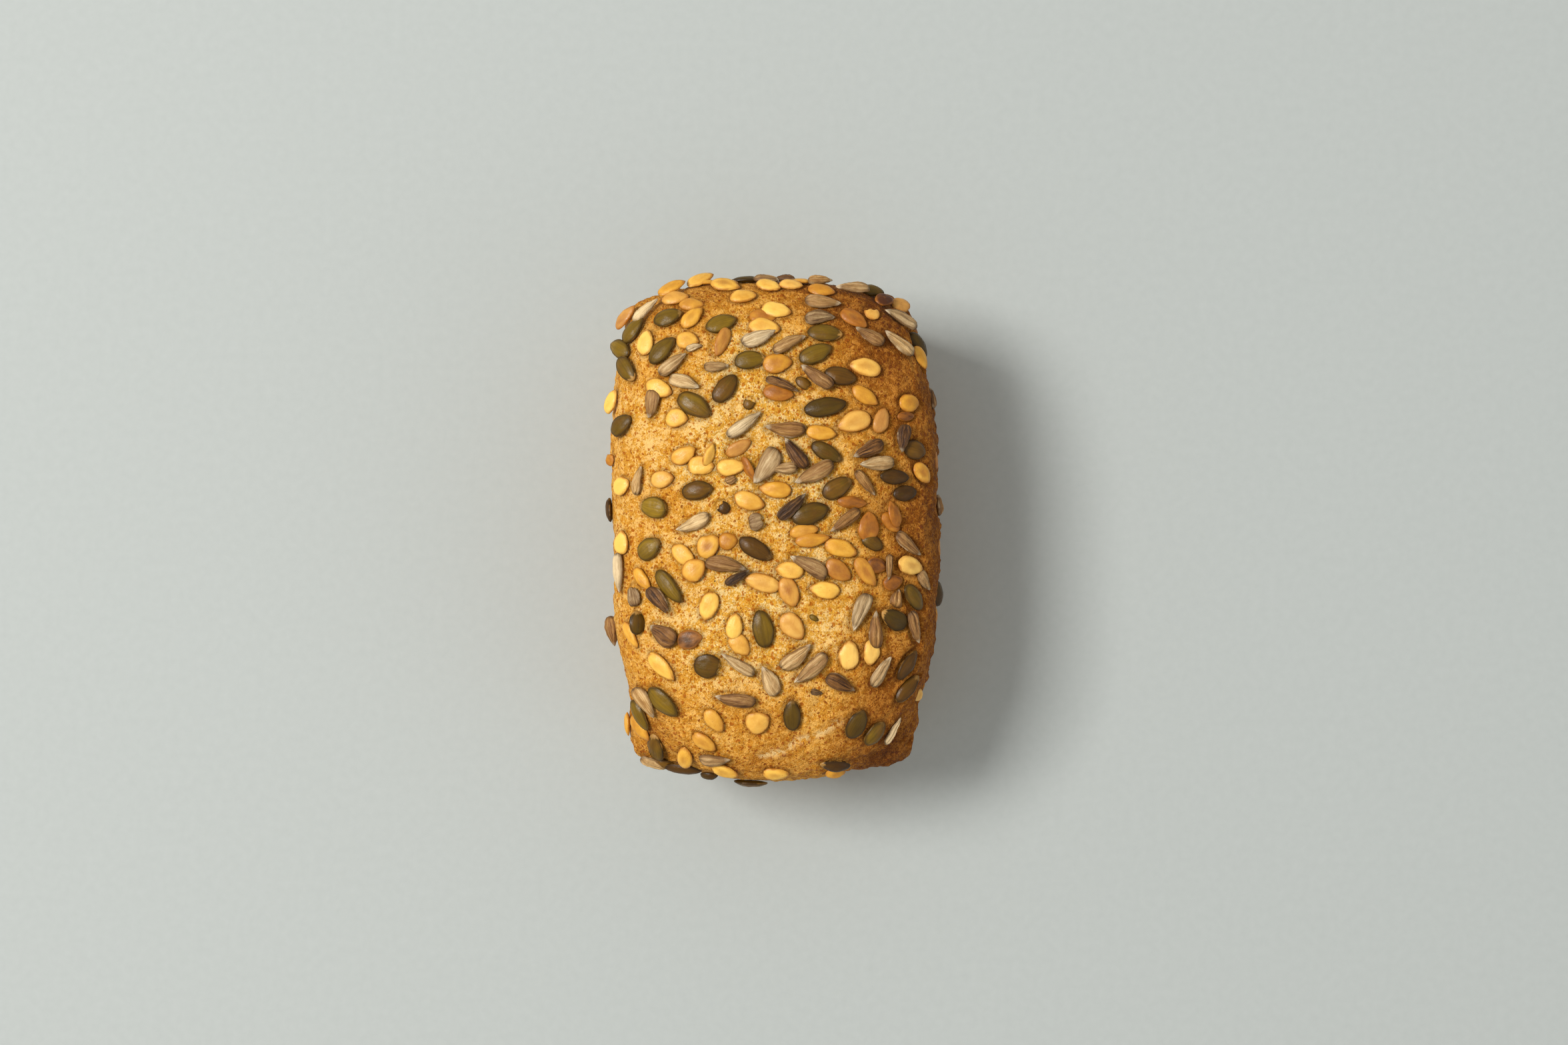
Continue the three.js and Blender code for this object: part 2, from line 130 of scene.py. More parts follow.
# The rest of the kernels that lie on the crown.
# A few tones below are painted light and shade: paler for kernels lying in shade on a slope, darker for one
# that catches a sheen.
TOP_KERNELS = {
    "pumpkin_seed": [
        Kernel(-45, 65.3, 52, 10.5, 5.8, 0.6, 0.9, 0.1),
        Kernel(-48.5, 59.3, 145, 10, 6, 0.65, 0.95, 0.3, 0.8),
        Kernel(-46.9, 52.8, -56, 10.5, 6, 0.5, 0.7, 0.9, 0.4),
        Kernel(16.5, 63.9, -3, 11.5, 6, 0.5, 0.6, 1.0),
        Kernel(32, 77.6, -6, 8, 5, 0.45, 0.8, 0, 0.4),
        Kernel(45.6, 61, -55, 10, 5.4, 0.08, 0.9, 0, 0.4),
        Kernel(-48.6, 34.7, 40, 9.4, 6.4, 0.42, 0.6, 0.1),
        Kernel(9.8, 47.6, -35, 6.4, 3.6, 0.45, 0.1, 0, -0.4, 0, 0.5),
        Kernel(-7.8, 41.4, 60, 4.6, 3.8, 0.55, 0.2, 0, -0.5, 0, 0.3),
        Kernel(16.8, 25.6, -28, 11, 5.4, 0.35, 0.6, 0.2),
        Kernel(45.2, 26.6, -12, 9, 6.4, 0.4, 0.2, 0.1, -0.6),
        Kernel(42, 12.5, 5, 9, 5.2, 0.06, 0.3, 0, -0.4),
        Kernel(38.4, 17.7, -3, 10.5, 4.8, 0.08, 0.3, 0, 0.3),
        Kernel(31.5, -3.5, -30, 8, 5, 0.45, 0.5, 0, -0.5),
        Kernel(-16.4, 8, 150, 5.2, 4.2, 0.1, 0, 0, -0.3, 0, 0.35),
        Kernel(-43.2, -29.4, 92, 8, 5.4, 0.3, 0.6, 0.8, 0.6, 50),
        Kernel(-21, -43.1, -8, 9.6, 8, 0.32, 0.55, 1, 0, 0, 0.7),
        Kernel(12.9, -27.7, -30, 3.4, 1.8, 0.6, 0.9, 0, -0.6),
        Kernel(32.4, -65.2, 52, 9.6, 6, 0.55, 0.5, 0.2, -0.3),
        Kernel(19.6, -75.2, 177, 10.4, 4.4, 0, 0.2, 0.7, 0.4),
        Kernel(42.5, -50.7, 49, 11.4, 4.8, 0.25, 0.3, 0.4, 0, -30),
        Kernel(-42.8, -59.7, -64, 11.5, 5.2, 0.62, 0.85, 0.1),
        Kernel(-29.5, -77, -6, 13, 4.2, 0.15, 0, 0, 0.2),
        Kernel(-36, -76, -18, 7, 4, 0.5, 0.1, 0, -0.5),
        Kernel(-20.8, -78.6, -4, 6, 3.4, 0.1, 0.5, 0, 0.4),
    ],
    "melon_kernel": [
        Kernel(-41.2, 61.3, 82, 8.8, 5.8, 1.0, 0.45, 0.2),
        Kernel(-27.8, 61.7, -5, 7.6, 6, 0.8, 0.5, 0.3),
        Kernel(-26.4, 69.2, 45, 9.2, 5.3, 0.7, 0.6, 0.5),
        Kernel(-26.8, 73.7, 0, 8.2, 4.8, 0.55, 0.5, 0.1, -0.6),
        Kernel(-31.9, 75.6, 5, 9, 5.3, 0.65, 0.4, 0.1, -0.2),
        Kernel(-24, 80.8, 27, 10, 5.2, 0.85, 0.5, 0.3, 0.9),
        Kernel(-15.8, 79.6, -8, 10, 5.6, 0.8, 0.55, 0.7),
        Kernel(-10, 76, 8, 9, 5.3, 0.75, 0.5, 0.2),
        Kernel(-1.7, 79.4, -12, 8.4, 5, 0.9, 0.5, 0.2, 0.2),
        Kernel(-3.5, 69.6, 0, 9, 5.4, 0.4, 0.6, 0.7, -0.6),
        Kernel(-3, 65.9, -8, 10.2, 6, 0.85, 0.5, 0.3, 0.2),
        Kernel(-16.7, 61, 248, 10.3, 4.8, 0.45, 0.4, 0.4, 0.3, -25),
        Kernel(5.6, 79.6, -4, 8, 4.4, 0.8, 0.4, 0.2, 0.2),
        Kernel(15.5, 78, -8, 9, 5, 0.5, 0.75, 0.3),
        Kernel(25.8, 68.8, -30, 10, 5.6, 0.3, 0.8, 0.5),
        Kernel(31.5, 71, 100, 6, 5.2, 0.7, 0.4, 0.1, 0, 0, 0.2),
        Kernel(41, 74, 5, 7.6, 5.6, 0.6, 0.3, 0, 0.3),
        Kernel(35.4, 74.8, 10, 7.4, 5, 0.0, 0.6, 0, 0.5),
        Kernel(1.2, 54.2, 8, 9.7, 6.6, 0.5, 0.7, 0.7),
        Kernel(-32.8, 78, 27, 10, 5.2, 0.65, 0.6, 0.3, 1.3),
        Kernel(-48, 70.6, 50, 10, 4.8, 0.5, 0.0, 0.2),
        Kernel(46.4, 56.6, -62, 8.6, 5, 0.7, 0.6, 0.3, 0.5),
        Kernel(-36.8, 46.3, -20, 9.5, 6, 0.85, 0.5, 0.1),
        Kernel(-31, 36.6, 0, 7.4, 6.2, 0.85, 0.5, 0.5),
        Kernel(-28.8, 24.8, 28, 9, 5.5, 0.75, 0.5, 0.3),
        Kernel(-20.5, 24.8, 70, 8, 4, 0.85, 0.5, 0.2, 0.6, 40),
        Kernel(-23.2, 21.3, -5, 8.6, 6.5, 0.85, 0.5, 0.1, -0.3),
        Kernel(-11.2, 26.9, 30, 9.2, 4.6, 0.5, 0.3, 0.4, 0, 20),
        Kernel(-8.2, 20.2, -62, 8.7, 3.6, 0.25, 0.8, 0, 0, 35),
        Kernel(-51.5, 42.5, 70, 8.6, 5, 1, 0.5, 0.1, 0.6),
        Kernel(-52.3, 24, 90, 5, 3.8, 0.4, 0.6, 0, 0, 0, 0.5),
        Kernel(43.3, 41.7, 0, 8, 5.9, 0.58, 0.6, 0.5, -0.1),
        Kernel(42.4, 37.4, 5, 6.4, 3.4, 0.15, 0.8, 0.1, -0.3),
        Kernel(34.3, 35.9, 72, 8.8, 5.3, 0.45, 0.3, 0.3),
        Kernel(29.2, 43.8, -33, 10, 5, 0.6, 0.7, 0.2),
        Kernel(15.3, 31.8, -5, 9.8, 5, 0.65, 0.7, 0.2),
        Kernel(-48.6, 15, 30, 7.2, 6, 1.0, 0.5, 0.1),
        Kernel(-35.6, 17, 8, 8, 5.6, 0.75, 0.4, 0.3),
        Kernel(-7.8, 9.9, -18, 10.2, 6, 0.75, 0.5, 0.3),
        Kernel(0.4, 13.6, 175, 10.5, 5.6, 0.65, 0.6, 0.3),
        Kernel(-48.6, -3.5, 90, 7.8, 5.9, 1.0, 0.5, 0.1),
        Kernel(-20.8, -4.5, 45, 8.4, 7, 0.75, 0.5, 1),
        Kernel(-14.6, -3, 10, 6.4, 5.7, 0.45, 0.7, 0.3, -0.6),
        Kernel(-28.8, -7.7, -40, 9.3, 5.5, 0.8, 0.5, 0.1),
        Kernel(-25.3, -12.2, 40, 8.6, 7.2, 0.7, 0.5, 0.3, 0.7),
        Kernel(47.3, 19, -50, 8.5, 5.5, 0.65, 0.5, 0.8),
        Kernel(25.2, 9.5, -5, 10, 4, 0.22, 1, 0.2, -0.6),
        Kernel(38.2, 5.8, 105, 9, 5, 0.3, 0.8, 0.2, 0.7, 20),
        Kernel(37.6, 3, -50, 8, 5, 0.3, 1, 0.2, -0.3),
        Kernel(9.7, 0.2, 12, 9.5, 4.6, 0.55, 0.5, 0.4),
        Kernel(12.4, -2.6, 8, 11.3, 4.5, 0.5, 0.8, 0.3, 0.4),
        Kernel(-42, -15.4, -54, 9.3, 4.2, 0.65, 0.65, 0.2),
        Kernel(4.9, -12.3, 175, 9.3, 5.6, 0.85, 0.5, 0.3, 0.3),
        Kernel(4.9, -19.4, -68, 10, 6.3, 0.6, 0.4, 1),
        Kernel(20.7, -12.4, -38, 9.5, 6.2, 0.35, 0.5, 0.7),
        Kernel(29.3, -13, -55, 11, 5.4, 0.52, 0.5, 0.8),
        Kernel(33, -10.8, -20, 7.2, 5.2, 0.1, 0.9, 0.3, -0.3),
        Kernel(38.4, -16.3, 15, 7.2, 5.2, 0.15, 0.8, 0, -0.6),
        Kernel(-45.8, -33.5, -62, 9.8, 3.8, 0.7, 0.6, 0.1),
        Kernel(-27, -34.6, 15, 8.6, 6.2, 0.14, 0.0, 1, -0.5),
        Kernel(-10.9, -36.4, -50, 8.6, 6, 0.7, 0.45, 0.2, -0.4),
        Kernel(31.2, -39, 265, 8.6, 5.5, 0.95, 0.4, 0.1, -0.3),
        Kernel(-19.2, -60.9, -55, 8.8, 5.4, 0.66, 0.5, 0.2),
        Kernel(-22.3, -68, -38, 9.2, 5.1, 0.65, 0.5, 0.5),
        Kernel(-28.6, -73, 88, 9, 5.6, 0.75, 0.6, 0.6),
        Kernel(-15.8, -77.4, -22, 9.4, 5, 0.85, 0.6, 0.4),
        Kernel(0.8, -78.2, -6, 8.8, 5, 0.85, 0.6, 0.4),
        Kernel(19.8, -78.2, 0, 7, 4.4, 0.6, 0.7, 0.4, -0.2),
        Kernel(46.3, -53.4, 60, 4.6, 4.2, 0.85, 0, 0.2, -0.4),
        Kernel(-43.2, -64.6, -55, 10, 4.8, 0.6, 0.6, 0.1),
    ],
    "sunflower_kernel": [
        Kernel(-41, 71.5, 43, 11, 4, 0.95, 0.35, 0.3),
        Kernel(-32.3, 54, 38, 11.2, 4.5, 0.65, 0.4, 0.2),
        Kernel(-25.6, 59.4, 20, 5.4, 2.6, 0.9, 0.3, 0, -0.3),
        Kernel(5, 60.5, 26, 12, 4.3, 0.5, 0.5, 0.3),
        Kernel(16, 73.8, -5, 12, 5, 0.5, 0.5, 0.3),
        Kernel(15, 69, 5, 10, 5, 0.4, 0.15, 0, -0.3),
        Kernel(40.2, 69, 152, 12.8, 5, 0.6, 0.2, 0.4, 0.3),
        Kernel(30.6, 63.1, 150, 10.8, 4.6, 0.4, 0.5, 0.3),
        Kernel(25.3, 78, 177, 11.5, 4.2, 0.6, 0.4, 0.4, 0.6),
        Kernel(15, 80.6, 2, 8.4, 4, 0.6, 0.7, 0.3, 0.3),
        Kernel(-18.4, 53, 3, 8.4, 3.4, 0.6, 0.4, 0.6),
        Kernel(-28.5, 48, -17, 10.4, 4.7, 0.85, 0.45, 0.5),
        Kernel(2.8, 47.2, -22, 11.5, 3.2, 0.25, 0.5, 0, 0.5),
        Kernel(13.7, 49.7, 145, 12.5, 4.7, 0.35, 0.5, 0.3, 1.0),
        Kernel(30, 26.4, 205, 11, 4.9, 0.18, 0.6, 0.2),
        Kernel(6.9, 25.3, 127, 12, 4.7, 0.06, 1, 0.5),
        Kernel(3.3, 20.3, 185, 8.8, 3.7, 0.6, 0.4, 0.2, 0.2),
        Kernel(40.9, 30.2, 262, 9.2, 5, 0.12, 0.9, 0.1, 0.3),
        Kernel(29.3, 15.7, 308, 10.3, 3.6, 0.45, 0.7, 0.2, -0.5),
        Kernel(6, 8.2, 42, 12, 4.4, 0.05, 0.4, 0.1, 0.2),
        Kernel(-43.2, 16.8, 78, 9.8, 3.2, 0.75, 0.9, 0.2),
        Kernel(-13.5, 16.8, 30, 4.2, 2.6, 0.5, 0.5, 0, -0.3, 0, 0.6),
        Kernel(-25.7, 2.7, 205, 12, 4.5, 0.85, 0.45, 0.5),
        Kernel(-4.9, 3.4, 20, 6.4, 5.6, 0.45, 0.0, 0, -0.2, 0, 0.35),
        Kernel(-15.2, -10.6, -10, 13.4, 5.2, 0.38, 0.5, 0.2),
        Kernel(-11.4, -14.5, 30, 9.2, 3.1, 0.0, 0.3, 0, 0.7),
        Kernel(-49.2, -13.3, 272, 13, 4, 0.95, 0.1, 0.5),
        Kernel(43, -4.2, -42, 11.5, 4.3, 0.4, 0.5, 0.2, -0.5),
        Kernel(36.6, -11.5, 268, 8.4, 2.6, 0.45, 0.5, 0.2),
        Kernel(48, -16, -60, 8, 3.8, 0.55, 0.4, 0.2, -0.6),
        Kernel(39.5, -21.5, 80, 6, 4.5, 0.42, 0.9, 0, -1.3),
        Kernel(-44.6, -20.4, 100, 7.4, 4.9, 0.42, 0.0, 0, 0, 0, 0.6),
        Kernel(-36.4, -22.2, -50, 11, 5, 0.15, 0.5, 0, 0.2, 0, 0.8),
        Kernel(-35.4, -33, 148, 10.2, 6.6, 0.3, 0.7, 0.3, -0.1),
        Kernel(7.2, -40, 38, 12.6, 5, 0.65, 0.5, 0.2),
        Kernel(34.2, -44.9, 58, 11.6, 4.3, 0.65, 0.3, 0.4),
        Kernel(-11.6, -42.4, 147, 12.6, 3.8, 0.75, 0.4, 0.5),
        Kernel(21.3, -48.7, -26, 10.8, 4.9, 0.15, 0.7, 0),
        Kernel(13.8, -51.6, -10, 4, 2.2, 0.2, 0.2, 0, -0.7),
        Kernel(44.7, -31, 284, 11.3, 4.3, 0.42, 0.5, 0.4),
        Kernel(-41, -55, -56, 11.6, 5.8, 0.62, 0.8, 0.1),
        Kernel(-18.9, -73.4, -3, 10.3, 4.5, 0.5, 0.4, 0.1),
        Kernel(38.2, -64.7, 60, 10.5, 2.8, 0.95, 0.35, 0.2, -0.4),
        Kernel(-39.5, -75.6, -22, 9.4, 4, 0.7, 0.5, 0.1, -0.2),
    ],
}

# Kernels that stand out past the outline of the crown.
FLANK_KERNELS = {
    "pumpkin_seed": [Flank(180, -7.2, 66, 20, 8.5, 5, 0.1, 0.1, 0)],
    "melon_kernel": [
        Flank(90, 23, 66, 165, 9.4, 5, 0.7, 0.6, 0.2),
        Flank(90, 16, 68, 170, 9, 5, 0.75, 0.5, 0.3),
        Flank(90, -8, 67, 5, 9, 5, 0.7, 0.5, 0.2),
        Flank(0, 23.5, 65, 15, 7.4, 4.4, 0.35, 0.3, 0.2),
        Flank(0, -5.3, 64, 12, 8.6, 4.8, 0.4, 0.6, 0.2),
        Flank(0, -27.7, 60, 5, 7.2, 4.2, 0.45, 0.5, 0.1),
        Flank(180, 64, 58, 10, 8, 4.4, 0.75, 0.6, 0.1),
    ],
    "sunflower_kernel": [
        Flank(90, 2.5, 67, 175, 8.6, 4.2, 0.5, 0.4, 0.2),
        Flank(90, -3.5, 66, 0, 7, 4, 0.15, 0.5, 0),
        Flank(0, 43.8, 65, 10, 7.4, 4, 0.3, 0.5, 0.1),
        Flank(0, 8.7, 65, 10, 7, 4, 0.4, 0.5, 0.2),
    ],
}

# Places tried for kernels on the flanks below the rim, and the least distance between two of them. Only the
# places that the crown hides from above are used.
HIDDEN_TRIES = 46
HIDDEN_SPACING = 9.5
# How far the places reach along a flank, as a share of it, and down from just under the rim.
HIDDEN_REACH = 0.88
HIDDEN_TOP = RIM - 3
HIDDEN_DEPTH = 34
HIDDEN_LIFT = -0.9

# ---------------------------------------------------------------- the loaf's smooth skin

# The grid's step in millimetres, and how many times it is smoothed.
SKIN_STEP = 0.89
SKIN_SMOOTHING = 10
# CAD vertices closer than this, in millimetres, are one.
SAME_POINT = 0.01


def evaluated_mesh(source):
    """A new mesh of an object with its modifiers applied."""
    graph = bpy.context.evaluated_depsgraph_get()
    return bpy.data.meshes.new_from_object(source.evaluated_get(graph))


def smooth_skin():
    """The CAD loaf as an even grid of small faces, with its facets smoothed away."""
    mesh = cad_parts["loaf"].data.copy()
    work = bmesh.new()
    work.from_mesh(mesh)
    bmesh.ops.remove_doubles(work, verts=work.verts, dist=SAME_POINT * MM)
    bmesh.ops.join_triangles(work, faces=work.faces, angle_face_threshold=0.7, angle_shape_threshold=1.5)
    work.to_mesh(mesh)
    work.free()
    holder = bpy.data.objects.new("skin_work", mesh)
    bpy.context.scene.collection.objects.link(holder)
    subdivide = holder.modifiers.new("subdivide", "SUBSURF")
    subdivide.levels = 2
    remesh = holder.modifiers.new("remesh", "REMESH")
    remesh.mode = "VOXEL"
    remesh.voxel_size = SKIN_STEP * MM
    smooth = holder.modifiers.new("smooth", "SMOOTH")
    smooth.iterations = SKIN_SMOOTHING
    skin = evaluated_mesh(holder)
    bpy.data.objects.remove(holder)
    return skin


def read_points(mesh, attribute="co"):
    flat = np.empty(len(mesh.vertices) * 3, np.float32)
    mesh.vertices.foreach_get(attribute, flat)
    return flat.reshape(-1, 3).astype(float)


SKIN = smooth_skin()
SKIN_POINTS = read_points(SKIN) / MM
SKIN_NORMALS = read_points(SKIN, "normal")
SKIN_TREE = BVHTree.FromPolygons(
    [Vector(point) for point in SKIN_POINTS], [tuple(face.vertices) for face in SKIN.polygons]
)


def smooth_normal(face_index):
    corners = SKIN.polygons[face_index].vertices
    return Vector(SKIN_NORMALS[list(corners)].mean(axis=0)).normalized()


# ---------------------------------------------------------------- where each kernel lies

# A kernel's middle, its axes and its size, with its looks.
Placed = namedtuple("Placed", "kind middle tip side up length width tone hue mark cut")
UP = Vector((0, 0, 1))
# How far a kernel turns from the skin's normal back towards its cast: on the level, and more on a slope.
LEVELLING = 0.12
SLOPE_LEVELLING = 0.4
# How far it then stands off, as a share of its width.
STAND_OFF = 0.25
# How far the crown reaches out over a place that it hides from above.
OVERHANG = 3


def turned(tip, up, roll):
    side = up.cross(tip).normalized()
    turn = Matrix.Rotation(math.radians(roll), 3, tip)
    return turn @ side, turn @ up


def lay(kind, start, cast, heading, kernel, roll=0, cut=1):
    """Cast a kernel onto the skin, keeping its heading as it is seen along the cast.

    On a slope it lies a little flatter than the crust, so that its outer edge stands off.
    """
    point, _, face, _ = SKIN_TREE.ray_cast(start, cast)
    if point is None:
        return None
    normal = smooth_normal(face)
    slope = 1 + normal.dot(cast)
    up = normal.slerp(-cast, LEVELLING + SLOPE_LEVELLING * slope)
    point = point + normal * STAND_OFF * kernel.width * math.sin(up.angle(normal))
    tip = (heading - cast * (heading.dot(up) / cast.dot(up))).normalized()
    side, turned_up = turned(tip, up, roll)
    middle = point + up * (KINDS[kind].perch + kernel.lift)
    size = (kernel.length, kernel.width, kernel.tone, kernel.hue, kernel.mark, cut)
    return Placed(kind, middle, tip, side, turned_up, *size)


def on_top(kind, kernel):
    turn = math.radians(kernel.heading)
    heading = Vector((math.cos(turn), math.sin(turn), 0))
    start = Vector((kernel.x, kernel.y, 2 * HEIGHT))
    return lay(kind, start, -UP, heading, kernel, kernel.roll, kernel.cut)


def flank_cast(kernel):
    """The way out of a kernel's flank, the level way along it, and where its cast starts."""
    bearing = math.radians(kernel.bearing)
    outward = Vector((math.cos(bearing), math.sin(bearing), 0))
    level = Vector((-outward.y, outward.x, 0))
    start = outward * 2 * HALF_LENGTH + level * kernel.along + Vector((0, 0, kernel.height))
    return outward, level, start


def on_flank(kind, kernel):
    outward, level, start = flank_cast(kernel)
    turn = math.radians(kernel.heading)
    heading = level * math.cos(turn) + Vector((0, 0, math.sin(turn)))
    return lay(kind, start, -outward, heading, kernel)


def from_node(kind, name, look):
    """A CAD kernel's place and size, from the spread of its own points."""
    points = np.unique(read_points(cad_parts[name].data).round(7), axis=0) / MM
    middle = (points.max(axis=0) + points.min(axis=0)) / 2
    axes = np.linalg.svd(points - points.mean(axis=0), full_matrices=False)[2]
    spans = [np.ptp(points @ axis) for axis in axes]
    tip, up = Vector(axes[0]), Vector(axes[2])
    ends = (points - middle) @ axes[0]
    reach = np.linalg.norm(np.cross(points - middle, axes[0]), axis=1)
    if reach[ends > 0].sum() > reach[ends < 0].sum():
        tip = -tip
    outward = Vector(middle) - Vector((0, 0, HEIGHT / 2))
    outward.y *= HALF_WIDTH / HALF_LENGTH
    if up.dot(outward) < 0:
        up = -up
    centre = sum(((points @ axis).max() + (points @ axis).min()) / 2 * axis for axis in axes)
    tilt = math.radians(NODE_TILTS.get(name, 0))
    up = up.slerp(UP, tilt / up.angle(UP))
    tip = (tip - up * tip.dot(up)).normalized()
    return Placed(kind, Vector(centre), tip, up.cross(tip), up, spans[0], spans[1], *look, 1)


def overhung(kernel):
    """Whether the crown hides this place on a flank from above."""
    outward, _, start = flank_cast(kernel)
    point = SKIN_TREE.ray_cast(start, -outward)[0]
    return point is not None and SKIN_TREE.ray_cast(point + outward * OVERHANG, UP)[0] is not None


def hidden_flanks():
    """Kernels scattered sparsely over the walls, thinning out towards the base."""
    kinds = list(KINDS)
    made = []
    while len(made) < HIDDEN_TRIES:
        bearing = DICE.choice((0, 90, 180, 270))
        span = HALF_LENGTH if bearing % 180 == 0 else HALF_WIDTH
        along = DICE.uniform(-HIDDEN_REACH, HIDDEN_REACH) * span
        height = HIDDEN_TOP - HIDDEN_DEPTH * DICE.random() ** 1.7
        if any(m[0] == bearing and math.hypot(m[1] - along, m[2] - height) < HIDDEN_SPACING for m in made):
            continue
        made.append((bearing, along, height, DICE.choice(kinds)))
    for bearing, along, height, kind in made:
        size = (DICE.uniform(8.5, 11.5), DICE.uniform(4.6, 6))
        look = (DICE.uniform(0.2, 0.75), DICE.uniform(0.3, 0.8), DICE.uniform(0, 0.5))
        kernel = Flank(bearing, along, height, DICE.uniform(0, 360), *size, *look, HIDDEN_LIFT)
        if overhung(kernel):
            yield kind, kernel


def place_kernels():
    placed = {kind: [] for kind in KINDS}
    for kind, looks in NODE_LOOKS.items():
        for number, look in enumerate(looks, start=1):
            placed[kind].append(from_node(kind, f"{kind}_{number:02d}", look))
    for kind, kernels in TOP_KERNELS.items():
        placed[kind] += [on_top(kind, kernel) for kernel in kernels]
    for kind, kernels in FLANK_KERNELS.items():
        placed[kind] += [on_flank(kind, kernel) for kernel in kernels]
    for kind, kernel in hidden_flanks():
        placed[kind].append(on_flank(kind, kernel))
    return {kind: [one for one in kernels if one] for kind, kernels in placed.items()}


# ---------------------------------------------------------------- kernel meshes

POINTS_AROUND = 44
# A kernel narrower than this, in millimetres, is thinner too, and a broken one keeps this share of its
# thickness. Ridges are this high, in half thicknesses.
FULL_WIDTH = 4.2
BROKEN_THICKNESS = 0.7
RIDGE_HEIGHT = 0.12
# How far a kernel's outline wavers, as a share of its width, and the depth of its dents in millimetres.
WAVER = (0.005, 0.03)
DENTS = 0.2
FINE_DENTS = 0.08
# Rings from the middle of the top, over the edge, to the middle of the underside: share of the
# outline, and side (top +1, underside -1).
RINGS = [(0.2, 1), (0.4, 1), (0.58, 1), (0.73, 1), (0.84, 1), (0.92, 1), (0.97, 1), (1, 0),
         (0.95, -1), (0.75, -1), (0.4, -1)]


def outline(kind, wobble):
    """Points around a kernel from its tip, in half lengths and half widths, and its widest place."""
    widest = (kind.blunt - kind.tip) / (kind.blunt + kind.tip)
    most = (1 + widest) ** kind.blunt * (1 - widest) ** kind.tip
    angles = np.linspace(0, 2 * math.pi, POINTS_AROUND, endpoint=False)
    x = np.cos(angles)
    y = np.sign(np.sin(angles)) * (1 + x) ** kind.blunt * (1 - x) ** kind.tip / most
    y[0] = 0
    y *= 1 + wobble[0] * np.sin(2 * angles + wobble[1]) + wobble[0] * np.sin(3 * angles + wobble[2])
    y += kind.bend * math.sin(5 * wobble[1]) * (0.4 - x * x)
    return x, y, widest


def kernel_points(kind, one, wobble):
    """A kernel's points in its own axes, in millimetres, and its grain: along, across and out."""
    x, y, widest = outline(kind, wobble)
    power, roundness = kind.dome
    thickness = kind.thickness * min(1, one.width / FULL_WIDTH) * (BROKEN_THICKNESS if one.cut < 1 else 1)
    rows = [(np.array([widest]), np.array([0.0]), np.array([0.0]), 1)]
    for share, side in RINGS:
        rows.append((widest + share * (x - widest), share * y, np.full_like(x, share), side))
    rows += [(np.array([widest]), np.array([0.0]), np.array([0.0]), -1)]
    points, grain = [], []
    for along, across, out, side in rows:
        half_width = ((1 + along) ** kind.blunt * np.maximum(1 - along, 0) ** kind.tip) + 0.05
        strand = np.clip(across / half_width, -1, 1)
        dome = (1 - out**power) ** roundness
        height = side * dome * (1 if side > 0 else kind.underside)
        # The rim stands up just inside the edge, with a shallow groove inside it.
        lip = kind.rim * (np.exp(-(((out - 0.93) / 0.045) ** 2)) - np.exp(-(((out - 0.82) / 0.06) ** 2)))
        ridge = np.cos(strand * math.pi * kind.ridges + wobble[2] + along) * RIDGE_HEIGHT * dome
        ridge = ridge if kind.ridges else 0
        z = (height + (lip + ridge) * (side > 0)) * thickness / 2
        z = z - kind.camber * (along - widest) ** 2
        if one.cut < 1:
            ragged = one.cut + 0.07 * np.sin(7 * across + wobble[1]) + 0.12 * across * math.cos(wobble[2])
            along = np.minimum(along, ragged)
        points.append(np.stack([along * one.length / 2, across * one.width / 2, z], axis=1))
        grain.append(np.stack([along, strand, out], axis=1))
    return np.concatenate(points), np.concatenate(grain)


def kernel_faces():
    """Faces of one kernel: a fan on top, bands between the rings, and a fan underneath."""
    faces = []
    last = 1 + len(RINGS) * POINTS_AROUND
    for i in range(POINTS_AROUND):
        j = (i + 1) % POINTS_AROUND
        faces.append((0, 1 + i, 1 + j))
        for ring in range(len(RINGS) - 1):
            a = 1 + ring * POINTS_AROUND
            b = a + POINTS_AROUND
            faces.append((a + i, b + i, b + j, a + j))
        a = last - POINTS_AROUND
        faces.append((a + i, last, a + j))
    return faces


def set_attribute(mesh, name, values, form="FLOAT"):
    """One value or vector for each point of a mesh, which its material can read by name."""
    layer = mesh.attributes.new(name, form, "POINT")
    key = "vector" if form == "FLOAT_VECTOR" else "value"
    layer.data.foreach_set(key, np.asarray(values, np.float32).ravel())


def kernel_piece(name, kind_name, kernels):
    """All the kernels of one kind as one piece, with each one's grain and looks as attributes."""
    kind = KINDS[kind_name]
    template = kernel_faces()
    points, grain, looks, faces = [], [], [], []
    start = 0
    for one in kernels:
        wobble = (DICE.uniform(*WAVER), DICE.uniform(0, 6), DICE.uniform(0, 6))
        local, own_grain = kernel_points(kind, one, wobble)
        place = Matrix((one.tip, one.side, one.up)).transposed()
        world = local @ np.array(place).T + np.array(one.middle)
        roughen = [
            noise.noise_vector(Vector(point) * 0.35) * DENTS
            + noise.noise_vector(Vector(point)) * FINE_DENTS * kind.crumple
            for point in world
        ]
        points.append(world + np.array(roughen))
        grain.append(own_grain)
        looks.append(np.tile([one.tone, one.hue, one.mark, DICE.random()], (len(local), 1)))
        faces += [tuple(start + index for index in face) for face in template]
        start += len(local)
    mesh = bpy.data.meshes.new(name)
    mesh.from_pydata(np.concatenate(points) * MM, [], faces)
    mesh.shade_smooth()
    set_attribute(mesh, "grain", np.concatenate(grain), "FLOAT_VECTOR")
    for column, label in enumerate(("tone", "hue", "mark", "chance")):
        set_attribute(mesh, label, np.concatenate(looks)[:, column])
    piece = bpy.data.objects.new(name, mesh)
    bpy.context.scene.collection.objects.link(piece)
    return piece


# ---------------------------------------------------------------- the crust

